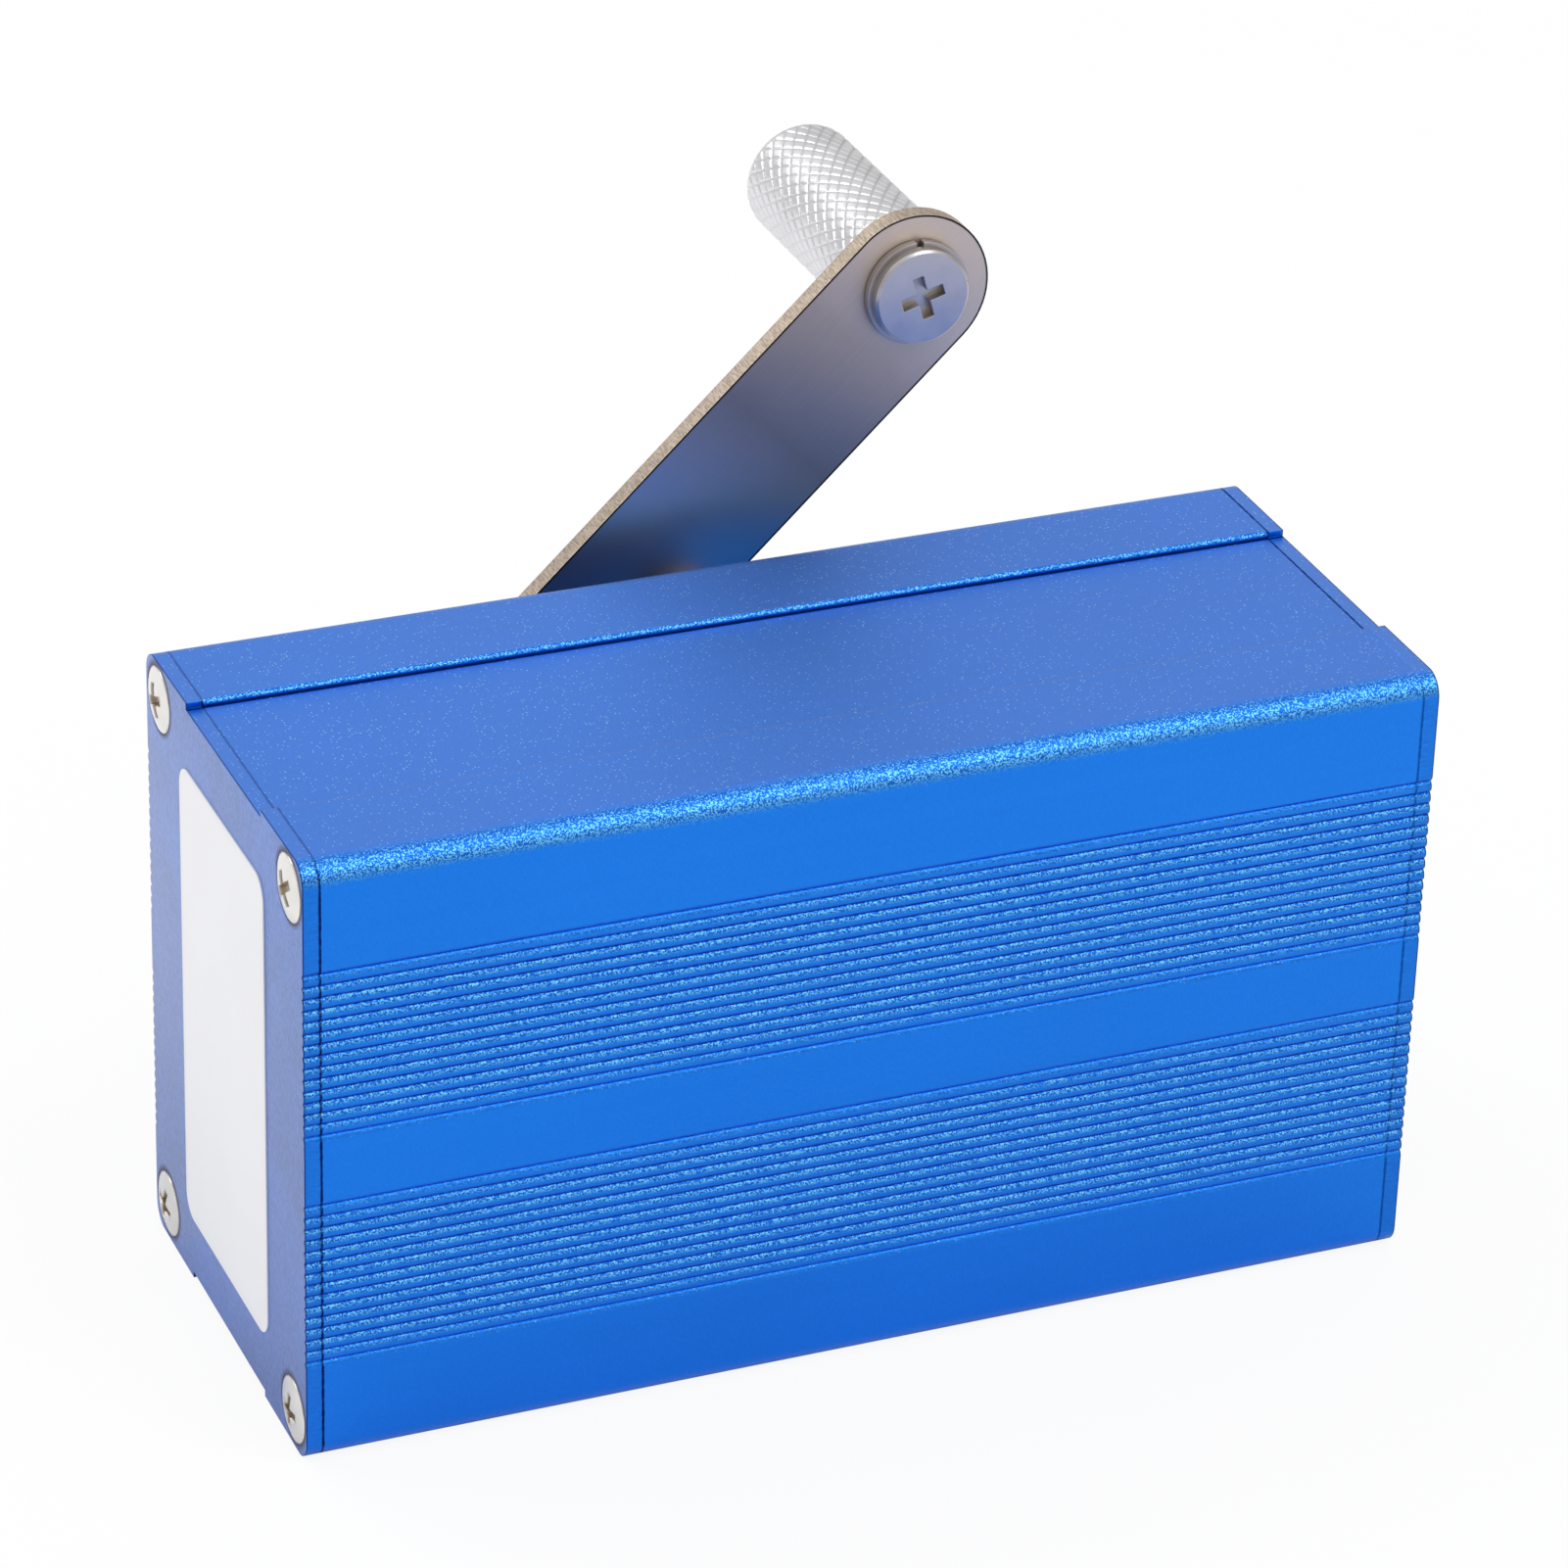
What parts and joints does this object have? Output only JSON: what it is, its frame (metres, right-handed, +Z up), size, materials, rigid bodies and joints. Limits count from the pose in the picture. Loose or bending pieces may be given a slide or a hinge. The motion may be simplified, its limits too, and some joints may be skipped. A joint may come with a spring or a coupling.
{
  "type": "hand crank generator",
  "caption": "Pocket generator in a ribbed blue aluminium case, turned by a flat steel crank with a knurled spinning grip, with a USB socket in one end.",
  "frame": {"origin": "middle of the base of the whole object's box, with the crank at rest", "axes": "+X along the case's length towards the USB end, +Y from the plain front to the crank side, +Z up from the long narrow side that it stands on"},
  "size_m": [0.111, 0.08, 0.0911],
  "materials": {
    "anodised_blue": "satin anodised blue over a fine blast",
    "anodised_lavender": "satin anodised blue, flat sheet",
    "label": "matt white film, blank",
    "nickel_screws": "nickel plate",
    "zinc": "bright zinc plate",
    "brushed_steel": "brushed along the arm",
    "bright_steel": "ground",
    "grip_aluminium": "fine diamond knurl",
    "gear_steel": "hobbed, oiled",
    "gear_brass": "machined",
    "plate_steel": "zinc plated sheet",
    "bronze": "sintered bronze",
    "drawn_steel": "drawn and plated",
    "die_cast": "die cast",
    "core_iron": "lacquered laminations",
    "copper_wire": "enamelled copper wire",
    "magnet_nickel": "nickel plate",
    "wire_cover": "soft insulation",
    "grommet_rubber": "moulded",
    "board": "solder mask",
    "terminal_plastic": "moulded",
    "black_epoxy": "moulded",
    "capacitor_can": "sleeved can",
    "ferrite": "pressed ferrite",
    "lamp_epoxy": "diffused",
    "socket_steel": "nickel plated steel",
    "socket_plastic": "moulded",
    "contact_gold": "gold plate"
  },
  "bodies": {
    "case": {"front_shell": "anodised_blue", "rear_shell": "anodised_blue", "left_end_plate": "anodised_lavender", "right_end_plate": "anodised_lavender", "left_label": "label", "left_plate_screws": "nickel_screws", "right_plate_screws": "nickel_screws", "gearbox_mounting_screws": "zinc", "gearbox_front_screws": "zinc", "generator_screws": "zinc", "gearbox_rear_plate": "plate_steel", "gearbox_front_plate": "plate_steel", "gearbox_pillars": "bright_steel", "crank_bush": "bronze", "crank_nose_bush": "bronze", "first_idler_bushes": "bronze", "second_idler_bushes": "bronze", "generator_housing": "drawn_steel", "generator_end_cap": "die_cast", "generator_bearings": "bronze", "stator_core": "core_iron", "stator_coils": "copper_wire", "phase_leads": "wire_cover", "lead_grommet": "grommet_rubber", "circuit_board": "board", "phase_terminal": "terminal_plastic", "regulator_chip": "black_epoxy", "rectifier_diodes": "black_epoxy", "output_capacitors": "capacitor_can", "power_inductor": "ferrite", "status_led": "lamp_epoxy", "usb_socket": "socket_steel", "usb_insulator": "socket_plastic", "usb_contacts": "contact_gold"},
    "crank": {"crank_shaft": "bright_steel", "drive_gear": "gear_steel", "drive_gear_pin": "bright_steel", "crank_arm": "brushed_steel", "crank_arm_washer": "zinc", "crank_arm_screw": "zinc"},
    "grip": {"crank_grip": "grip_aluminium", "grip_washer": "zinc", "grip_screw": "zinc"},
    "first_idler": {"first_idler_pinion": "gear_steel", "first_idler_gear": "gear_brass", "first_idler_shaft": "bright_steel"},
    "second_idler": {"second_idler_pinion": "gear_steel", "second_idler_gear": "gear_brass", "second_idler_shaft": "bright_steel"},
    "rotor": {"rotor_shaft": "bright_steel", "rotor_pinion": "gear_brass", "rotor_core": "core_iron", "rotor_spacers": "gear_brass", "rotor_magnets": "magnet_nickel"}
  },
  "joints": [
    {"name": "crank_turn", "type": "hinge", "parent": "case", "child": "crank", "pos_m": [-0.0313, 0.00495, 0.03075], "axis": [0, 1, 0], "continuous": true},
    {"name": "grip_spin", "type": "hinge", "parent": "crank", "child": "grip", "pos_m": [0.02337, 0.01195, 0.08354], "axis": [0, 1, 0], "continuous": true},
    {"name": "first_idler_turn", "type": "hinge", "parent": "case", "child": "first_idler", "pos_m": [-0.01047, -0.00755, 0.01872], "axis": [0, 1, 0], "continuous": true},
    {"name": "second_idler_turn", "type": "hinge", "parent": "case", "child": "second_idler", "pos_m": [-0.00786, -0.01155, 0.03355], "axis": [0, 1, 0], "continuous": true},
    {"name": "rotor_turn", "type": "hinge", "parent": "case", "child": "rotor", "pos_m": [-0.02191, -0.02555, 0.03355], "axis": [0, 1, 0], "continuous": true}
  ],
  "couplings": [
    {"joint": "first_idler_turn", "follows": "crank_turn", "ratio": -4},
    {"joint": "second_idler_turn", "follows": "crank_turn", "ratio": 12.667},
    {"joint": "rotor_turn", "follows": "crank_turn", "ratio": -46.444}
  ]
}
